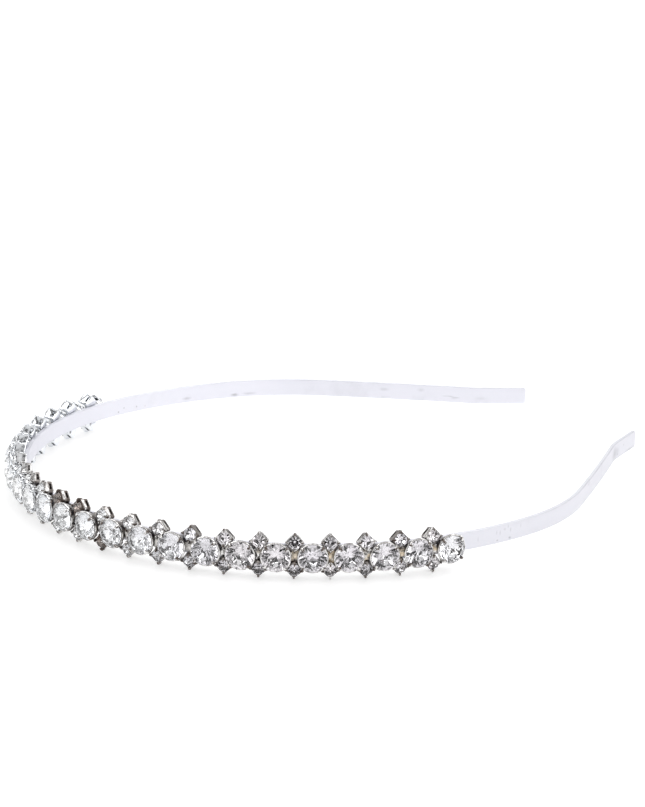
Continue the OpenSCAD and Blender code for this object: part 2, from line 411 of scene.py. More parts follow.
def grow(name, tree, values, template=None):
    """Runs a tree on a template and keeps the result as a plain mesh piece."""
    if template:
        template.materials.append(values["Finish"])
    piece = new_object(name, template or bpy.data.meshes.new(name))
    modifier = piece.modifiers.new(tree.name, "NODES")
    modifier.node_group = tree
    for item in tree.interface.items_tree:
        if item.in_out == "INPUT" and item.name in values:
            modifier[item.identifier] = values[item.name]
    depsgraph = bpy.context.evaluated_depsgraph_get()
    mesh = bpy.data.meshes.new_from_object(
        piece.evaluated_get(depsgraph), preserve_all_data_layers=True, depsgraph=depsgraph
    )
    piece.modifiers.remove(modifier)
    piece.data = mesh
    mesh.name = name
    if not mesh.polygons:
        raise RuntimeError(f"{name} came out empty")
    return piece


def put_on(piece, slot, *nodes):
    """Lets a piece ride on the headband's one body and stand for its solids."""
    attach(piece, "root")
    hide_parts(*nodes)


# The strip's path

MOST_TURN = math.radians(1.0)
MOST_STEP = 2 * MM
CORNER_STEPS = 8


def bends(strip):
    """Length and radius of each bend of one half, from the crown to the tip."""
    flick = (strip.flick_radius * strip.flick_angle, -strip.flick_radius)
    return [*zip(strip.bend_lengths, strip.bend_radii), flick]


def ahead(place, distance, radius):
    """The place [x, y, heading] that lies a distance further along a bend."""
    x, y, heading = place
    turned = heading + distance / radius
    return (
        x + radius * (math.sin(turned) - math.sin(heading)),
        y - radius * (math.cos(turned) - math.cos(heading)),
        turned,
    )


def half_path(strip):
    """Points from the crown to a tip, close together where the strip bends or ends."""
    points, place = [], (0.0, 0.0, 0.0)
    for distance, radius in bends(strip):
        steps = math.ceil(max(abs(distance / radius) / MOST_TURN, distance / MOST_STEP))
        points += [ahead(place, distance * i / steps, radius) for i in range(steps)]
        place = ahead(place, distance, radius)
    x, y, heading = place
    tip = [strip.tip_length * i / CORNER_STEPS for i in range(CORNER_STEPS)]
    for reach in (strip.tip_corner, strip.edge_radius):
        turns = [math.pi / 2 * i / CORNER_STEPS for i in range(CORNER_STEPS)]
        tip += [strip.tip_length - reach * (1 - math.sin(turn)) for turn in turns]
    tip = sorted(set(tip + [strip.tip_length]))
    points += [(x + step * math.cos(heading), y + step * math.sin(heading), heading) for step in tip]
    return [Vector((px, py, 0.0)) for px, py, _ in points]


def strip_path(strip):
    """The middle line of the strip, from the -X tip over the crown to the +X tip."""
    half = half_path(strip)
    crown = Vector((
        (STRIP_LOW.x + STRIP_HIGH.x) / 2, STRIP_LOW.y + strip.thickness / 2, STRIP_MIDDLE_Z
    ))
    mirrored = [Vector((-p.x, p.y, p.z)) for p in reversed(half[1:])]
    points = [crown + p for p in mirrored + half]
    curve = bpy.data.curves.new("strip_path", "CURVE")
    curve.dimensions = "3D"
    spline = curve.splines.new("POLY")
    spline.points.add(len(points) - 1)
    for point, place in zip(spline.points, points):
        point.co = (*place, 1.0)
    return new_object("strip_path", curve)


# Templates, drawn in millimetres


def written(bm, mesh):
    """Moves a drawn shape into a mesh."""
    bm.to_mesh(mesh)
    bm.free()
    return mesh


def template_mesh(name, bm):
    """The drawn shape in metres, its faces pointing outwards."""
    bmesh.ops.recalc_face_normals(bm, faces=bm.faces)
    bm.transform(Matrix.Scale(MM, 4))
    return written(bm, bpy.data.meshes.new(name))


def angles(count, turn=0.0):
    """Even steps all the way round."""
    return [2 * math.pi * i / count + turn for i in range(count)]


def ring(bm, radius, z, count, turn=0.0):
    """Points round Z, or one on it where the radius is 0."""
    if radius == 0:
        return [bm.verts.new((0, 0, z))]
    return [bm.verts.new((radius * math.cos(a), radius * math.sin(a), z)) for a in angles(count, turn)]


def lathe(outline, sides):
    """Turns an outline of [radius, height] points about Z, from pole to pole."""
    bm = bmesh.new()
    rings = [ring(bm, radius, height, sides) for radius, height in outline]
    for lower, upper in zip(rings, rings[1:]):
        for i in range(sides):
            j = (i + 1) % sides
            below = [lower[i % len(lower)], lower[j % len(lower)]]
            above = [upper[j % len(upper)], upper[i % len(upper)]]
            bm.faces.new(list(dict.fromkeys(below + above)))
    return bm


def bar(size, centre, turn=0.0):
    """A box turned about Z."""
    bm = bmesh.new()
    place = Matrix.Rotation(turn, 4, "Z") @ Matrix.Translation(centre) @ Matrix.Diagonal((*size, 1.0))
    bmesh.ops.create_cube(bm, size=1.0, matrix=place)
    return bm


def rounded(bm, edges, offset, segments=2, clamp=False):
    look = {"offset": offset, "segments": segments, "profile": 0.5, "clamp_overlap": clamp}
    bmesh.ops.bevel(bm, geom=edges, affect="EDGES", **look)


def finger(outline, bend_z, turn, width, tip_share, bevel):
    """A flat prong or claw: its side outline, given a width that narrows above bend_z and round edges."""
    bm = bmesh.new()
    top = max(z for _, z in outline)
    sides = []
    for side in (-1, 1):
        edge = []
        for out, z in outline:
            narrowing = max(0.0, (z - bend_z) / (top - bend_z)) * (1 - tip_share)
            edge.append(bm.verts.new((out, side * width / 2 * (1 - narrowing), z)))
        sides.append(edge)
    left, right = sides
    bm.faces.new(left)
    bm.faces.new(reversed(right))
    for i in range(len(outline)):
        j = (i + 1) % len(outline)
        bm.faces.new((left[i], right[i], right[j], left[j]))
    bmesh.ops.recalc_face_normals(bm, faces=bm.faces)
    rounded(bm, list(bm.edges), bevel, clamp=True)
    bmesh.ops.rotate(bm, verts=bm.verts, cent=(0, 0, 0), matrix=Matrix.Rotation(turn, 3, "Z"))
    return bm


def joined(shapes):
    """Several drawn shapes in one."""
    whole = bmesh.new()
    for bm in shapes:
        part = written(bm, bpy.data.meshes.new("part"))
        whole.from_mesh(part)
        bpy.data.meshes.remove(part)
    return whole


def worked(body, cuts, fingers):
    """Cuts shapes from a body one after another and solders fingers to it."""
    bench = new_object("bench", written(body, bpy.data.meshes.new("bench")))
    things = [bench]
    for operation, bm in [("DIFFERENCE", cut) for cut in cuts] + [("UNION", joined(fingers))]:
        tool = new_object("tool", written(bm, bpy.data.meshes.new("tool")))
        modifier = bench.modifiers.new(operation, "BOOLEAN")
        modifier.operation = operation
        modifier.solver = "EXACT"
        modifier.object = tool
        things.append(tool)
    result = bmesh.new()
    result.from_object(bench, bpy.context.evaluated_depsgraph_get())
    for thing in things:
        mesh = thing.data
        bpy.data.objects.remove(thing)
        bpy.data.meshes.remove(mesh)
    return result


# Shading: the angle of a sharp edge, and the edge between a flat face and its narrow rounding
SHARP_ANGLE = 38
FLAT_ANGLE = 5
FLAT_RATIO = 3


def shade(mesh):
    """Smooth shading that keeps sharp edges crisp."""
    mesh.shade_smooth()
    mesh.set_sharp_from_angle(angle=math.radians(SHARP_ANGLE))


def keep_flat(mesh):
    """Ends the smooth shading at the edges between a wide flat face and its narrow rounding."""
    bm = bmesh.new()
    bm.from_mesh(mesh)
    for edge in bm.edges:
        areas = [face.calc_area() for face in edge.link_faces]
        wide = max(areas) > FLAT_RATIO * min(areas)
        if wide and edge.calc_face_angle() > math.radians(FLAT_ANGLE):
            edge.smooth = False
    written(bm, mesh)


# The distance over which the film on a claw or a corner sets in
CLAW_REACH = 0.2


def store_wear_and_shade(mesh, low, high, rim, corner):
    """Keeps each point's height, 0 at the foot and 1 at the tips, and how far it is into a claw or corner."""
    height = mesh.attributes.new("height", "FLOAT", "POINT")
    claw = mesh.attributes.new("claw", "FLOAT", "POINT")
    for point, height_value, claw_value in zip(mesh.vertices, height.data, claw.data):
        x, y, z = point.co / MM
        height_value.value = (z - low) / (high - low)
        outward = (math.hypot(x, y) - corner) / CLAW_REACH
        claw_value.value = min(1.0, max(0.0, outward, (z - rim) / CLAW_REACH))


# Cut stones, in shares of their radius, and the girdle, the gaps and the ledge round them in millimetres
STONE_SIDES = 8
TABLE_SHARE = 0.55
SPLIT_SHARE = 0.35
SINGLE_TABLE = 0.6
SINGLE_CORNER = 1.03
GIRDLE = 0.16
SEAT_GAP = 0.1
EDGE_GAP = 0.13
LEDGE = 0.03


def stone_sizes(stone):
    return [value / MM for value in (stone.diameter / 2, stone.crown_height, stone.pavilion_depth)]


def backed(mesh):
    """Marks the faces below a stone's girdle, which carry the foil."""
    back = mesh.attributes.new("back", "BOOLEAN", "FACE")
    for face, value in zip(mesh.polygons, back.data):
        value.value = face.center.z / MM < -GIRDLE / 2
    return mesh


def brilliant(stone):
    """A round brilliant cut with a table, stars, kites and a pavilion."""
    radius, crown_height, pavilion_depth = stone_sizes(stone)
    bm = bmesh.new()
    half_step = math.pi / STONE_SIDES
    table_r, split_r = radius * TABLE_SHARE, radius * SPLIT_SHARE
    table_z, culet_z = GIRDLE / 2 + crown_height, -GIRDLE / 2 - pavilion_depth
    star_r = (table_r + radius) / 2
    star_z = table_z - (star_r * math.cos(half_step) - table_r) * crown_height / (radius - table_r)
    split_z = culet_z + split_r * math.cos(half_step) * pavilion_depth / radius
    table = ring(bm, table_r, table_z, STONE_SIDES)
    star = ring(bm, star_r, star_z, STONE_SIDES, half_step)
    upper = ring(bm, radius, GIRDLE / 2, 2 * STONE_SIDES)
    lower = ring(bm, radius, -GIRDLE / 2, 2 * STONE_SIDES)
    split = ring(bm, split_r, split_z, STONE_SIDES, half_step)
    culet = bm.verts.new((0, 0, culet_z))
    bm.faces.new(table)
    for i in range(STONE_SIDES):
        j, before = (i + 1) % STONE_SIDES, i - 1
        here, half, after = 2 * i, 2 * i + 1, (2 * i + 2) % (2 * STONE_SIDES)
        for corners in (
            (table[i], star[i], table[j]), (table[i], star[before], upper[here], star[i]),
            (star[i], upper[here], upper[half]), (star[i], upper[half], upper[after]),
            (split[i], lower[half], lower[here]), (split[i], lower[after], lower[half]),
            (culet, split[i], lower[here], split[before]),
            (upper[here], lower[here], lower[half], upper[half]),
            (upper[half], lower[half], lower[after], upper[after]),
        ):
            bm.faces.new(corners)
    return backed(template_mesh("brilliant", bm))


def single_cut(stone):
    """The plainer cut of small stones: a table, eight crown facets and eight pavilion facets."""
    radius, crown_height, pavilion_depth = stone_sizes(stone)
    top, bottom = GIRDLE / 2, -GIRDLE / 2
    corner = radius * SINGLE_CORNER
    outline = [
        (0, bottom - pavilion_depth), (corner, bottom), (corner, top),
        (radius * SINGLE_TABLE, top + crown_height), (0, top + crown_height),
    ]
    return backed(template_mesh("single_cut", lathe(outline, STONE_SIDES)))


# Fingers: width, share of it at the tip, and bevel
PRONG_FORM = (0.75, 0.62, 0.07)
CLAW_FORM = (0.5, 0.6, 0.05)
# A prong's side outline: how far outside the stone's edge, and how far above its girdle
PRONG = [
    (-0.37, -1.86), (-0.13, -1.86), (0.42, -0.56), (0.42, 0.20), (0.05, 0.55),
    (-0.48, 0.72), (-0.54, 0.50), (-0.17, 0.27), (EDGE_GAP, 0.04), (EDGE_GAP, -0.46),
]
PRONG_COUNT = 4
# The round cup
CUP_SIDES = 48
CUP_LIP = 0.25
CUP_WALL = 0.3
CUP_FLOOR = 0.5
CUP_FOOT_RADIUS = 2.1
CUP_FOOT_HEIGHT = 0.25
CUP_RIM_HEIGHT = 0.42
CUP_ROUNDING = 0.08
CUP_WINDOW = 0.62
WINDOW_SIDES = 20


def round_cup(large, strip):
    """A round cup with four windows low in its wall and four prongs between them."""
    radius, girdle = large.diameter / MM / 2, large.girdle / MM
    base = strip.thickness / MM / 2 + SEAT_GAP
    rim = girdle - GIRDLE / 2 - SEAT_GAP
    cup_r, foot_r, rounding = radius + CUP_LIP, CUP_FOOT_RADIUS, CUP_ROUNDING
    band, floor = rim - CUP_RIM_HEIGHT, base + CUP_FLOOR
    section = [
        (0, base), (foot_r - rounding, base), (foot_r, base + rounding), (foot_r, base + CUP_FOOT_HEIGHT),
        (cup_r - rounding / 2, band), (cup_r, band + rounding), (cup_r, rim - rounding),
        (cup_r - rounding, rim), (radius - LEDGE, rim), (cup_r - CUP_WALL, band),
        (foot_r - CUP_WALL, floor), (0, floor),
    ]
    through = [(0, -2 * cup_r), (CUP_WINDOW, -2 * cup_r), (CUP_WINDOW, 2 * cup_r), (0, 2 * cup_r)]
    windows = [lathe(through, WINDOW_SIDES) for _ in range(2)]
    for window, turn in zip(windows, (0.0, math.pi / 2)):
        lying = Matrix.Translation((0, 0, (base + rim) / 2)) @ Matrix.Rotation(turn, 4, "Z")
        window.transform(lying @ Matrix.Rotation(math.pi / 2, 4, "Y"))
    outline = [(radius + out, girdle + GIRDLE / 2 + up) for out, up in PRONG]
    turns = angles(PRONG_COUNT, math.pi / PRONG_COUNT)
    prongs = [finger(outline, girdle, turn, *PRONG_FORM) for turn in turns]
    mesh = template_mesh("round_cup", worked(lathe(section, CUP_SIDES), windows, prongs))
    store_wear_and_shade(mesh, base, max(z for _, z in outline), rim + CLAW_REACH, cup_r)
    return mesh


# A solder bead: its half sizes, how high its middle lies, and the depth and number of its lumps
BEAD_HALF = (1.3, 1.3, 1.0)
BEAD_MIDDLE = 2.1
BEAD_LUMP = 0.42
BEAD_WAVES = (5.3, 4.1, 4.7)
BEAD_DETAIL = 4


def solder_bead():
    """A lumpy bead that fills the foot of the gap between two cups."""
    bm = bmesh.new()
    bmesh.ops.create_icosphere(bm, subdivisions=BEAD_DETAIL, radius=1.0)
    for point in bm.verts:
        lump = sum(math.sin(wave * value + k) for k, (wave, value) in enumerate(zip(BEAD_WAVES, point.co)))
        grown = point.co * (1 + BEAD_LUMP * lump / len(BEAD_WAVES))
        x, y, z = [half * value for half, value in zip(BEAD_HALF, grown)]
        point.co = (x, y, z + BEAD_MIDDLE)
    return template_mesh("solder_bead", bm)


# A claw's side outline: how far outside the stone's edge, and how far above the setting's rim
CLAW = [
    (EDGE_GAP, -0.70), (0.67, -0.70), (0.67, 0.30), (0.37, 0.62),
    (-0.18, 0.72), (-0.21, 0.52), (EDGE_GAP, 0.32),
]
CLAW_COUNT = 4
# The square setting
SEAT_FOOT_RADIUS = 0.3
SEAT_SIDES = 32
CHANNEL_WIDTH = 1.5
CHANNEL_HEIGHT = 0.55
CHANNEL_Z = -1.65
SETTING_BEVEL = 0.08
SETTING_CORNER = 0.5
SHARP_CORNER = 60
CORNER_START = 0.25


def square_setting(small):
    """A square setting with its rim at Z 0, two thread channels through its foot and four claws."""
    radius, side, depth = small.diameter / MM / 2, small.side / MM, small.depth / MM
    body = bar((side, side, depth), (0, 0, -depth / 2), math.pi / 4)
    upright = [edge for edge in body.edges if abs(edge.verts[0].co.z - edge.verts[1].co.z) > depth / 2]
    rounded(body, upright, SETTING_CORNER, segments=4)
    sharp = [edge for edge in body.edges if edge.calc_face_angle() > math.radians(SHARP_CORNER)]
    rounded(body, sharp, SETTING_BEVEL)
    top = max(up for _, up in CLAW)
    bowl = radius - LEDGE
    seat = [(0, CHANNEL_Z), (SEAT_FOOT_RADIUS, CHANNEL_Z), (bowl, 0), (bowl, top), (0, top)]
    size, middle = (2 * side, CHANNEL_WIDTH, CHANNEL_HEIGHT), (0, 0, CHANNEL_Z)
    channels = [bar(size, middle, turn) for turn in (math.pi / 4, 3 * math.pi / 4)]
    outline = [(radius + out, up) for out, up in CLAW]
    claws = [finger(outline, 0.0, turn, *CLAW_FORM) for turn in angles(CLAW_COUNT)]
    mesh = template_mesh("square_setting", worked(body, [lathe(seat, SEAT_SIDES), *channels], claws))
    store_wear_and_shade(mesh, -depth, top, CLAW_REACH, radius + CORNER_START)
    return mesh


# Materials


def shared(look, colours):
    """A material that is made once, named like the function that gives its shader's inputs."""
    material = bpy.data.materials.get(look.__name__)
    if not material:
        material = bpy.data.materials.new(look.__name__)
        material.use_nodes = True
        place = source(material.node_tree, "ShaderNodeTexCoord", "Object")
        fill(material.node_tree.nodes["Principled BSDF"], look(colours, place))
    return material


def attribute(place, name):
    return source(place.tree, "ShaderNodeAttribute", "Fac", attribute_name=name)


def above_middle(place):
    """Height above the middle of the strip."""
    return add("ShaderNodeSeparateXYZ", {"Vector": place}, "Z") - STRIP_MIDDLE_Z


def noise(place, scale, detail, roughness):
    inputs = {"Vector": place, "Scale": scale, "Detail": detail, "Roughness": roughness}
    return add("ShaderNodeTexNoise", inputs, "Fac")


def patches(place, scale, detail, roughness, start, end, least=0.0, most=1.0):
    """Patches where a noise goes past a range."""
    return ramp(noise(place, scale, detail, roughness), start, end, least, most)


def mixed(share, first, second):
    """Two colours, or wires of them, mixed by a share."""
    inputs = {"Factor": share}
    for number, value in ((MIX_FIRST, first), (MIX_SECOND, second)):
        inputs[number] = value if isinstance(value, Wire) else (*value, 1.0)
    return add("ShaderNodeMix", inputs, MIX_OUT, data_type="RGBA")


def dimmed(finish, *shares):
    """A colour times one share, or times a share for each of its parts."""
    shares = shares if len(shares) > 1 else shares * len(finish)
    return tuple(part * share for part, share in zip(finish, shares))


def bumps(height, millimetres, strength):
    inputs = {"Height": height, "Distance": millimetres * MM, "Strength": strength}
    return add("ShaderNodeBump", inputs, "Normal")


# Grey marks on the strip: place along it, height above its middle, half length, half height, and depth. The
# broad mark at 388.5 over the tip's outward bend and the one at 399.0 along the tip's lower edge are painted
# shade
MARKS = [
    (388.5, -0.3, 4.6, 2.3, 0.42), (399.0, -1.85, 4.0, 0.7, 0.5), (90.4, -1.0, 1.8, 0.6, 0.38),
    (76.8, -1.4, 1.6, 0.6, 0.6), (72.6, -1.3, 2.6, 0.5, 0.32), (37.1, 0.5, 2.0, 0.7, 0.25),
    (27.4, 0.7, 1.3, 0.8, 0.22), (11.6, -0.7, 2.2, 0.7, 0.15), (314.1, -1.35, 0.5, 0.35, 0.75),
    (317.9, -1.4, 0.6, 0.4, 0.6), (313.9, 0.5, 0.25, 0.8, 0.35), (314.9, 0.3, 0.25, 0.9, 0.35),
    (316.3, 0.9, 0.6, 0.5, 0.3), (317.3, 1.4, 0.3, 0.6, 0.35), (318.1, 0.4, 0.25, 0.8, 0.35),
    (321.3, 0.8, 0.3, 0.8, 0.25), (308.6, -0.2, 0.25, 0.8, 0.25),
]
# The settings that have gone brown: number from the row's near end, and 1 above the row or -1 below it
BROWN_SETTINGS = [(12, 1), (13, 1), (11, -1)]

# Noises: scale, detail and roughness. Patches add the range over which they set in
SMUDGES = (90.0, 4.0, 0.6, 0.52, 0.70)
SPECKLED = (60.0, 2.0, 0.5, 0.52, 0.60)
RUBBED = (75.0, 3.0, 0.6, 0.66, 0.76)
MARK_CLOUD = (700.0, 3.0, 0.6)
DRAWN_LINES = (160.0, 4.0, 0.7)
FILM_CLOUD = (700.0, 4.0, 0.6)
CLAW_STAINS = (900.0, 3.0, 0.7, 0.44, 0.54)
FLECKS = (1600.0, 3.0, 0.7, 0.57, 0.66)
METAL_GRAIN = (2600.0, 3.0, 0.6)
SOLDER_CLOUD = (600.0, 3.0, 0.6)
SOLDER_GRAIN = (1500.0, 3.0, 0.6)
FACET_WAVE = (600.0, 2.0, 0.5)
FOIL_CLOUD = (500.0, 3.0, 0.5, 0.35, 0.75)
FLOOR_CLOUD = (3.0, 2.0, 0.5, 0.3, 0.7)
SPECK_SCALE = 420.0
# How many times closer a pattern on the strip is across it than along it
RUBBED_STRETCH = 5.0
LINE_STRETCH = 60.0

# Ramps: where they start and end, then their levels there if these aren't 0 and 1
SPECK_EDGE = (0.05, 0.15, 0.5, 0.0)
MARK_EDGE = (0.3, 1.4)
OUTER_SIDE = (-0.02, 0.02)
# Painted light: the inner face is painted paler up to the start of this stretch from the far tip, fading out
# by its end.
FAR_END_PAINTED_LIGHT = (0.07, 0.20)
BROWN_REACH = (0.006, 0.012, 1.0, 0.0)
CLEAN_FOOT = (0.0, 0.12, 0.2, 1.0)
LINE_EDGE = (0.012, 0.03)
BAND_EDGE = (0.11, 0.15, 0.15, 1.0)
OLD_TONES = (0.45, 0.70, 0.0, 0.8)
FLUX_EDGE = (0.40, 0.60)
FLUX_FADE = (0.10, 0.30, 1.0, 0.15)
BARE_TIN = (0.35, 0.55, 1.0, 0.0)
# Painted light: the foil is painted paler past the crown and round the row's near end stone.
FOIL_FAR = (0.20, 0.48)
END_STONE_PAINTED_LIGHT = (3.35 * MM, 3.5 * MM, 1.0, 0.0)
ALL_TONES = (-1.0, 1.0)

# Shares of a setting's height: the dark line, which is painted shade, and the bright band, which is a painted
# highlight, on its wall
PAINTED_SHADE_LINE = 0.68
PAINTED_HIGHLIGHT_BAND = 0.50

# Shares by which a pattern counts
RUBBED_DEPTH = 0.35
MARK_UNEVEN = 0.8
SMUDGE_DEPTH = 0.2
FILM_UNEVEN = 0.5
LINE_DEPTH = 0.9
STAIN_DEPTHS = (0.1, 0.95)
FLECK_DEPTH = 0.9
# Painted light: the share of the film that is taken off past the crown.
FAR_PAINTED_LIGHT = 0.88
SOLDER_TONES = 0.15
# Shares of a colour
STRIP_DULLED = 0.85
# Specks, rubbed marks, grey marks and the painted shade at the near tip take this darker share of the strip
# colour
STRIP_STAINED_AND_SHADED = 0.42
FOIL_DULLED = 0.72
FLOOR_SHADED = 0.985
CRYSTAL_COOLER = (0.95, 0.965, 0.985)

# Roughness, and how much each pattern adds to it
STRIP_ROUGHNESS = 0.38
STRIP_ROUGHER = 0.06
PLATING_ROUGHNESS = 0.10
FILM_ROUGHER = 0.25
SOLDER_ROUGHNESS = 0.3
FOIL_ROUGHNESS = 0.02
FOIL_ROUGHER = 0.05
FOIL_BLUR = 0.13
FLOOR_ROUGHNESS = 0.5
CRYSTAL_IOR = 1.56
# Bumps: depth in millimetres, and strength
LINE_BUMP = (0.02, 0.25)
METAL_BUMP = (0.03, 0.35)
SOLDER_BUMP = (0.06, 0.5)
FACET_BUMP = (0.01, 0.05)


def polished_plating(finish, place):
    """Satin plating with faint smudges, drawing lines along the strip, a few rubbed marks and specks, grey
    marks of which two are painted shade at the near tip, and a paler copy on the inner face of the far end
    that is painted light.
    """
    along, height = attribute(place, "along"), above_middle(place)

    def along_strip(stretch):
        return combined(X=along, Y=height * stretch)

    smudges = patches(place, *SMUDGES)
    cells = {"Vector": place, "Scale": SPECK_SCALE}
    specks = ramp(add("ShaderNodeTexVoronoi", cells, "Distance"), *SPECK_EDGE)
    worn_and_shaded = [specks * patches(place, *SPECKLED)]
    worn_and_shaded.append(patches(along_strip(RUBBED_STRETCH), *RUBBED, most=RUBBED_DEPTH))
    wobble = noise(place, *MARK_CLOUD) * MARK_UNEVEN
    # Grey marks, two of them painted shade at the near tip
    for where, up, half_length, half_height, depth in MARKS:
        out = (along - where * MM) / (half_length * MM)
        over = (height - up * MM) / (half_height * MM)
        reach = vectors("LENGTH", combined(X=out, Y=over))
        worn_and_shaded.append(ramp(reach + wobble, *MARK_EDGE, depth, 0.0))
    lines = noise(along_strip(LINE_STRETCH), *DRAWN_LINES)
    outer = ramp(vectors("DOT_PRODUCT", place.beside("Normal"), place), *OUTER_SIDE)
    # Painted light and shade: the inner face of the far end takes the paler copy of the plating, the rest
    # takes the darker one.
    painted_light_plating = mixed(greatest(ramp(along, *FAR_END_PAINTED_LIGHT), outer), finish.strip_far_painted_light, finish.strip)
    smudged = mixed(smudges * SMUDGE_DEPTH, painted_light_plating, dimmed(finish.strip, STRIP_DULLED))
    return {
        "Base Color": mixed(greatest(*worn_and_shaded), smudged, dimmed(finish.strip, STRIP_STAINED_AND_SHADED)),
        "Metallic": 1.0,
        "Roughness": STRIP_ROUGHNESS + smudges * STRIP_ROUGHER + lines * STRIP_ROUGHER,
        "Normal": bumps(lines, *LINE_BUMP),
    }


def browned(place):
    """1 on the brown settings and their stones."""
    row, height = attribute(place, "row"), above_middle(place)
    found = []
    for number, side in BROWN_SETTINGS:
        off = abs(row - (number - 1) / (len(LARGE_STONES) - 1))
        found.append(ramp(off, *BROWN_REACH) * ramp(height, 0.0, side * MM))
    return greatest(*found)


def tarnished_and_shaded(finish, place, low_range, depth, far, brown_and_shade_line):
    """Plating with a brown film at the claws and towards the strip, tarnish and painted shade in one, and
    past the crown with less film and a paler colour, which is painted light.
    """
    height, claw, tone, row = [attribute(place, key) for key in ("height", "claw", "tone", "row")]
    # Tarnish with painted shade: darker towards the foot, next to the strip.
    low = ramp(height + noise(place, *FILM_CLOUD) * FILM_UNEVEN, *low_range, depth, 0.0)
    # Painted shade: a dark line round the setting's wall a little below its rim.
    shade_line = ramp(abs(height - PAINTED_SHADE_LINE), *LINE_EDGE, brown_and_shade_line * LINE_DEPTH, 0.0)
    off_foot = ramp(height, *CLEAN_FOOT)
    # Painted highlight: the brown settings keep a bright band round the middle of their wall.
    aged_and_highlight_band = greatest(ramp(tone, *OLD_TONES), browned(place) * ramp(abs(height - PAINTED_HIGHLIGHT_BAND), *BAND_EDGE))
    past_crown = ramp(row, *far)
    # Tarnish and painted shade in one film, with stains on the claws and flecks.
    film_and_shade = greatest(
        greatest(low, shade_line) * off_foot,
        claw * patches(place, *CLAW_STAINS, *STAIN_DEPTHS),
        aged_and_highlight_band * (off_foot * brown_and_shade_line),
        patches(place, *FLECKS, most=FLECK_DEPTH),
    ) * (1.0 - past_crown * FAR_PAINTED_LIGHT)
    # Painted light: the plating past the crown is painted paler.
    painted_light_plating = mixed(past_crown, finish.plating, finish.plating_far_painted_light)
    return {
        "Base Color": mixed(film_and_shade, painted_light_plating, finish.tarnish_and_shade),
        "Metallic": 1.0,
        "Roughness": PLATING_ROUGHNESS + film_and_shade * FILM_ROUGHER,
        "Normal": bumps(noise(place, *METAL_GRAIN), *METAL_BUMP),
    }


def cup_plating(finish, place):
    """The cups' plating, darkened by tarnish and painted shade almost up to the rim."""
    return tarnished_and_shaded(finish, place, low_range=(0.80, 1.12), depth=0.92, far=(0.40, 0.60), brown_and_shade_line=0.0)


def claw_plating(finish, place):
    """The square settings' plating, with a painted dark line and a painted bright band on their wall."""
    return tarnished_and_shaded(finish, place, low_range=(0.56, 0.74), depth=0.86, far=(0.55, 0.74), brown_and_shade_line=0.95)


def pale_solder(finish, place):
    """Lumpy pale solder, beige where its flux stayed on it."""
    cloud = noise(place, *SOLDER_CLOUD) + attribute(place, "tone") * SOLDER_TONES
    beige = ramp(cloud, *FLUX_EDGE) * ramp(attribute(place, "row"), *FLUX_FADE)
    return {
        "Base Color": mixed(beige, finish.tin, finish.solder),
        "Metallic": ramp(cloud, *BARE_TIN),
        "Roughness": SOLDER_ROUGHNESS,
        "Normal": bumps(noise(place, *SOLDER_GRAIN), *SOLDER_BUMP),
    }


def cut_crystal(finish, place):
    """Clear cut crystal with a faint polishing wave in its facets."""
    cooler = dimmed(finish.crystal, *CRYSTAL_COOLER)
    return {
        "Base Color": mixed(ramp(attribute(place, "tone"), *ALL_TONES), finish.crystal, cooler),
        "Transmission Weight": 1.0,
        "IOR": CRYSTAL_IOR,
        "Roughness": 0.0,
        "Normal": bumps(noise(place, *FACET_WAVE), *FACET_BUMP),
    }


def mirror_foil(finish, place):
    """Mirror foil on the back of a stone, a little uneven and brown behind a few stones, painted paler past
    the crown and on the row's near end stone, which is painted light.
    """
    cloud = patches(place, *FOIL_CLOUD)
    past_crown = ramp(attribute(place, "row"), *FOIL_FAR)
    near = mixed(cloud, finish.foil, dimmed(finish.foil, FOIL_DULLED))
    tint = mixed(past_crown, near, finish.foil_far_painted_light)
    low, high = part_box("large_stone_01")
    from_end = vectors("DISTANCE", place, (low + high) / 2)
    tint = mixed(ramp(from_end, *END_STONE_PAINTED_LIGHT), tint, finish.foil_end_painted_light)
    return {
        "Base Color": mixed(browned(place), tint, finish.foil_brown),
        "Metallic": 1.0,
        "Roughness": FOIL_ROUGHNESS + cloud * FOIL_ROUGHER + past_crown * FOIL_BLUR,
    }


def pale_floor(studio, place):
    """Smooth pale board with a faint gloss."""
    return {
        "Base Color": mixed(patches(place, *FLOOR_CLOUD), studio.floor, dimmed(studio.floor, FLOOR_SHADED)),
        "Roughness": FLOOR_ROUGHNESS,
        "Emission Strength": studio.floor_glow,
    }


# Operators

# The row's sides: 1 above it and -1 below it
SIDE_NAME = {1: "upper", -1: "lower"}
# What is added to the seed of the handwork, for a side and for how the pieces are turned
SIDE_SEED = {0: 0, 1: 20, -1: 40}
CUP_TURNS = 0
SMALL_TURNS = 5
SOLDER_TURNS = 9
LARGE_TURNS = 67
# The chamfer of the strip's corner, above which a square setting sits
STRIP_CHAMFER = 0.25


def settings_of(context):
    return context.scene.crystal_headband


def shared_path(settings):
    return bpy.data.objects.get("strip_path") or strip_path(settings.strip)


def side_height(settings):
    """From the strip's middle to the middle of a square setting's rim, outwards."""
    small, strip = settings.small, settings.strip
    corner_up = strip.width / 2 - STRIP_CHAMFER * MM
    rim = small.depth + SEAT_GAP * MM + strip.thickness / 2 * math.cos(small.lean)
    return (rim + (corner_up - small.rise) * math.sin(small.lean)) / math.cos(small.lean)


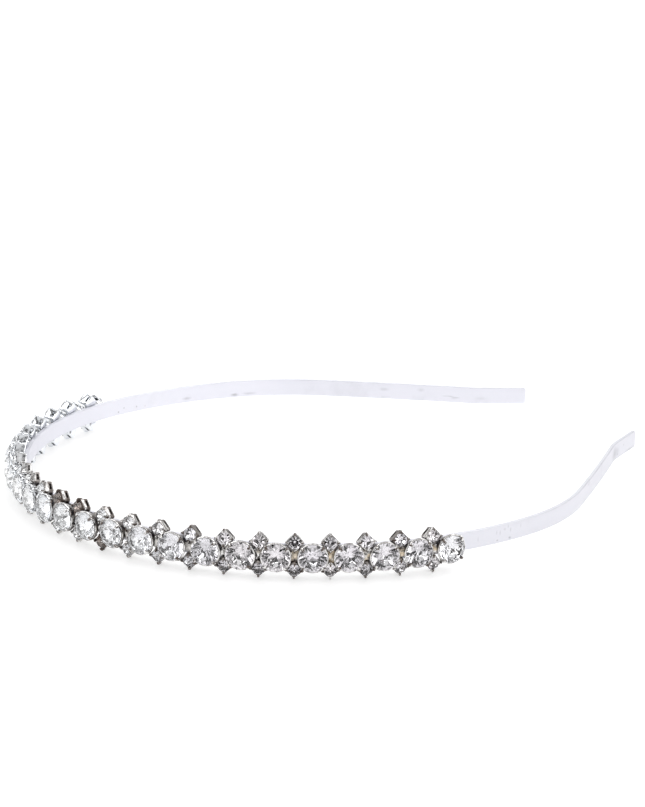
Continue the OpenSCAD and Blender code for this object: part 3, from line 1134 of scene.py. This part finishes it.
def grow_row(settings, name, template, finishes, turn, turn_seed, side=0, between=True):
    """Sets a template along the strip on one side of the row, between the large stones or at them."""
    large, small, work = settings.large, settings.small, settings.handwork
    first = large.row_shift + (large.count - 1) / 2 * large.pitch
    values = {
        "Path": shared_path(settings),
        "Count": large.count - between,
        "First": first - between * large.pitch / 2,
        "Pitch": large.pitch,
        "Height": side_height(settings) if side else 0.0,
        "Rise": side * small.rise,
        "Lean": -side * small.lean,
        "Slip": work.slip,
        "Tilt": work.tilt,
        "Turn": turn,
        "Turn seed": work.seed + turn_seed,
        "Seed": work.seed + SIDE_SEED[side],
        "Finish": finishes[0],
        "Back finish": finishes[-1],
    }
    return grow(name, bpy.data.node_groups.get(ROW_TREE) or row_tree(), values, template)


class HEADBAND_OT_strip(bpy.types.Operator):
    """Sweeps the polished strip along its bends"""

    bl_idname = "headband.strip"
    bl_label = "Strip"

    def execute(self, context):
        settings = settings_of(context)
        strip = settings.strip
        values = {
            "Path": shared_path(settings),
            "Width": strip.width,
            "Thickness": strip.thickness,
            "Edge radius": strip.edge_radius,
            "Tip corner": strip.tip_corner,
            "Finish": shared(polished_plating, settings.finish),
        }
        piece = grow("polished_strip", strip_tree(), values)
        bm = bmesh.new()
        bm.from_mesh(piece.data)
        bmesh.ops.recalc_face_normals(bm, faces=bm.faces)
        shade(written(bm, piece.data))
        keep_flat(piece.data)
        put_on(piece, "strip_metal", "strip")
        return {"FINISHED"}


class HEADBAND_OT_large_cups(bpy.types.Operator):
    """Sets the round cups along the strip"""

    bl_idname = "headband.large_cups"
    bl_label = "Large cups"

    def execute(self, context):
        settings = settings_of(context)
        cup = round_cup(settings.large, settings.strip)
        metal = shared(cup_plating, settings.finish)
        turn = settings.handwork.twist
        piece = grow_row(settings, "large_cups", cup, [metal], turn, CUP_TURNS, between=False)
        shade(piece.data)
        put_on(piece, "setting_metal", *LARGE_CUPS)
        return {"FINISHED"}


class HEADBAND_OT_solder(bpy.types.Operator):
    """Melts a bead of solder into the foot of each gap between two cups"""

    bl_idname = "headband.solder"
    bl_label = "Solder"

    def execute(self, context):
        settings = settings_of(context)
        metal = shared(pale_solder, settings.finish)
        piece = grow_row(settings, "solder_beads", solder_bead(), [metal], math.pi, SOLDER_TURNS)
        shade(piece.data)
        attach(piece, "root")
        return {"FINISHED"}


def crystal_and_foil(finish):
    return [shared(cut_crystal, finish), shared(mirror_foil, finish)]


class HEADBAND_OT_large_stones(bpy.types.Operator):
    """Sets the large stones in their cups"""

    bl_idname = "headband.large_stones"
    bl_label = "Large stones"

    def execute(self, context):
        settings = settings_of(context)
        cut = brilliant(settings.large)
        cut.transform(Matrix.Translation((0, 0, settings.large.girdle)))
        finishes, turn = crystal_and_foil(settings.finish), settings.handwork.stone_turn
        piece = grow_row(settings, "large_stones", cut, finishes, turn, LARGE_TURNS, between=False)
        put_on(piece, "crystal", *LARGE_STONES)
        return {"FINISHED"}


class HEADBAND_OT_small_settings(bpy.types.Operator):
    """Sets the square settings above and below the row"""

    bl_idname = "headband.small_settings"
    bl_label = "Small settings"

    def execute(self, context):
        settings = settings_of(context)
        metal, turn = shared(claw_plating, settings.finish), settings.handwork.twist
        for side, word in SIDE_NAME.items():
            setting = square_setting(settings.small)
            piece = grow_row(settings, f"{word}_square_settings", setting, [metal], turn, side, side)
            shade(piece.data)
            put_on(piece, "setting_metal", f"{word}_small_settings")
        return {"FINISHED"}


class HEADBAND_OT_small_stones(bpy.types.Operator):
    """Sets the small stones in their square settings"""

    bl_idname = "headband.small_stones"
    bl_label = "Small stones"

    def execute(self, context):
        settings = settings_of(context)
        finishes, turn = crystal_and_foil(settings.finish), settings.handwork.stone_turn
        for side, word in SIDE_NAME.items():
            cut = single_cut(settings.small)
            cut.transform(Matrix.Translation((0, 0, (SEAT_GAP + GIRDLE / 2) * MM)))
            name = f"{word}_square_set_stones"
            piece = grow_row(settings, name, cut, finishes, turn, SMALL_TURNS + side, side)
            put_on(piece, "crystal", f"{word}_small_stones")
        return {"FINISHED"}


# The studio's panels: heights and half widths in degrees, shares of their width, and of their light
PANEL_FOOT = 26
PANEL_TOP = 60
SEAM = 6
PANEL_SOFTNESS = 1.2
CAMERA_GAP = 8
SHADED_SIDE = 25
PANEL_SHARE = 0.84
PANEL_EDGE = 0.03
PANEL_SIDE_LIGHT = 0.6
FLOOR_SIDES = 96
CLIP_START = 0.01
CLIP_END = 50.0


def panel_world(studio):
    """A pale wall, soft panels and a pale ceiling, with dark gaps and a shaded wall behind the camera."""
    world = bpy.data.worlds.new("studio_panels")
    world.use_nodes = True
    tree = world.node_tree
    look = source(tree, "ShaderNodeTexCoord", "Generated")
    x = add("ShaderNodeSeparateXYZ", {"Vector": look}, "X")
    elevation = maths("ARCSINE", x.beside("Z"))
    from_camera = maths("ARCTAN2", x.beside("Y") * -1.0, x) - studio.azimuth
    soft = math.radians(PANEL_SOFTNESS)

    def above(degrees):
        edge = math.radians(degrees)
        return ramp(elevation, edge - soft, edge + soft)

    def near_camera(degrees):
        nearer, farther = [math.cos(math.radians(degrees) + side * soft) for side in (-1, 1)]
        return ramp(maths("COSINE", from_camera), farther, nearer)

    turned = maths("FRACT", from_camera * (studio.panel_count / (2 * math.pi)))
    off_middle = abs(turned - 0.5) * 2.0
    in_panel = ramp(off_middle, PANEL_SHARE - PANEL_EDGE, PANEL_SHARE + PANEL_EDGE, 1.0, 0.0)
    wall = studio.horizon - near_camera(SHADED_SIDE) * (studio.horizon - studio.behind)
    wall = wall * (1.0 - above(PANEL_FOOT)) * (1.0 - near_camera(CAMERA_GAP))
    panels = above(PANEL_FOOT + SEAM) * (1.0 - above(PANEL_TOP))
    panels = panels * ramp(off_middle, 0.0, PANEL_SHARE, 1.0, PANEL_SIDE_LIGHT) * studio.panels
    ceiling = above(PANEL_TOP + SEAM) * studio.top
    fill(tree.nodes["Background"], {
        "Color": (1.0, 1.0, 1.0, 1.0),
        "Strength": (wall + panels) * in_panel + ceiling + studio.gap,
    })
    return world


def photo_camera(studio):
    """The camera at the photograph's viewing angle, turned a little about its own view."""
    flat = math.cos(studio.elevation)
    away = Vector((
        flat * math.cos(studio.azimuth), -flat * math.sin(studio.azimuth), math.sin(studio.elevation)
    ))
    data = bpy.data.cameras.new("photo_camera")
    data.lens = studio.lens
    data.clip_start = CLIP_START
    data.clip_end = CLIP_END
    camera = new_object("photo_camera", data)
    look = (-away).to_track_quat("-Z", "Y").to_matrix().to_4x4()
    place = Matrix.Translation(Vector(studio.aim) + away * studio.distance)
    camera.matrix_world = place @ look @ Matrix.Rotation(studio.roll, 4, "Z")
    return camera


class HEADBAND_OT_studio(bpy.types.Operator):
    """Lays the pale floor, hangs the soft panels and sets up the camera"""

    bl_idname = "headband.studio"
    bl_label = "Studio"

    def execute(self, context):
        studio = settings_of(context).studio
        bm = bmesh.new()
        bmesh.ops.create_circle(bm, cap_ends=True, radius=studio.floor_radius, segments=FLOOR_SIDES)
        mesh = written(bm, bpy.data.meshes.new("floor"))
        mesh.materials.append(shared(pale_floor, studio))
        new_object("floor", mesh)
        context.scene.world = panel_world(studio)
        context.scene.view_settings.view_transform = "Standard"
        context.scene.camera = photo_camera(studio)
        return {"FINISHED"}


class HEADBAND_PT_sidebar(bpy.types.Panel):
    """Lists the headband's settings and the operators that build it"""

    bl_label = "Crystal headband"
    bl_idname = "HEADBAND_PT_sidebar"
    bl_space_type = "VIEW_3D"
    bl_region_type = "UI"
    bl_category = "Headband"

    def draw(self, context):
        settings = settings_of(context)
        for operator in OPERATORS:
            self.layout.operator(operator.bl_idname)
        for key in HeadbandSettings.__annotations__:
            group = getattr(settings, key)
            box = self.layout.box()
            for name in group.__annotations__:
                box.prop(group, name)


GROUPS = (
    StripSettings, LargeRowSettings, SmallPairSettings, HandworkSettings, FinishSettings, StudioSettings,
    HeadbandSettings,
)
OPERATORS = (
    HEADBAND_OT_strip, HEADBAND_OT_large_cups, HEADBAND_OT_solder, HEADBAND_OT_large_stones,
    HEADBAND_OT_small_settings, HEADBAND_OT_small_stones, HEADBAND_OT_studio,
)


def register():
    for cls in (*GROUPS, *OPERATORS, HEADBAND_PT_sidebar):
        bpy.utils.register_class(cls)
    bpy.types.Scene.crystal_headband = PointerProperty(type=HeadbandSettings)


def unregister():
    del bpy.types.Scene.crystal_headband
    for cls in reversed((*GROUPS, *OPERATORS, HEADBAND_PT_sidebar)):
        bpy.utils.unregister_class(cls)


def main():
    register()
    bpy.ops.headband.strip()
    bpy.ops.headband.large_cups()
    bpy.ops.headband.solder()
    bpy.ops.headband.large_stones()
    bpy.ops.headband.small_settings()
    bpy.ops.headband.small_stones()
    bpy.ops.headband.studio()
    bpy.data.objects.remove(bpy.data.objects["strip_path"])


if __name__ == "__main__":
    main()
